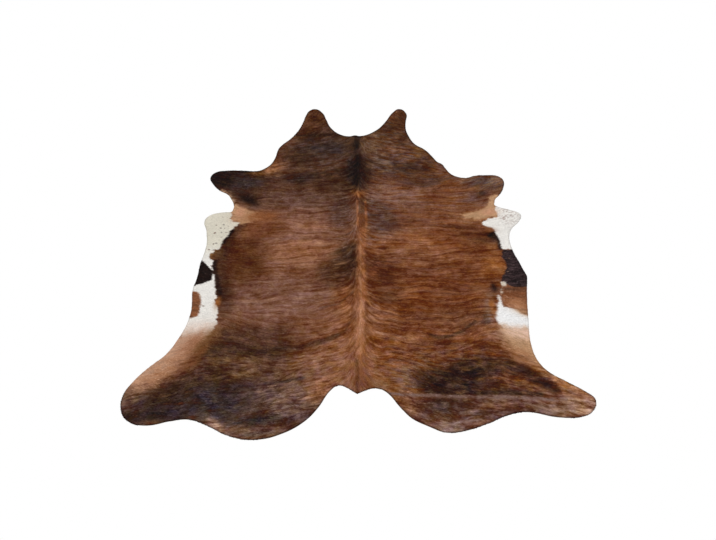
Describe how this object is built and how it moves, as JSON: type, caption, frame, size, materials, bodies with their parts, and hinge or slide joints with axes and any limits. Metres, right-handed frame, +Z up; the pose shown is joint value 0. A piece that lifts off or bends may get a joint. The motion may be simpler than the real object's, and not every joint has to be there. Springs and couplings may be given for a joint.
{
  "type": "cowhide rug",
  "caption": "Whole tanned cowhide with short brindle hair, trimmed to its natural outline and laid flat as a floor rug.",
  "frame": {"origin": "centre of the bounding box in plan, on the plane that the hide lies on", "axes": "+X to the hide's right flank seen from above with the neck away, +Y along the spine towards the neck, +Z up out of the hair side"},
  "size_m": [2.0613, 2.326, 0.0095],
  "materials": {
    "hair_on_hide": "short glossy brown brindle hair over tanned skin, white at the flanks"
  },
  "bodies": {
    "root": {"hide": "hair_on_hide"}
  },
  "joints": []
}
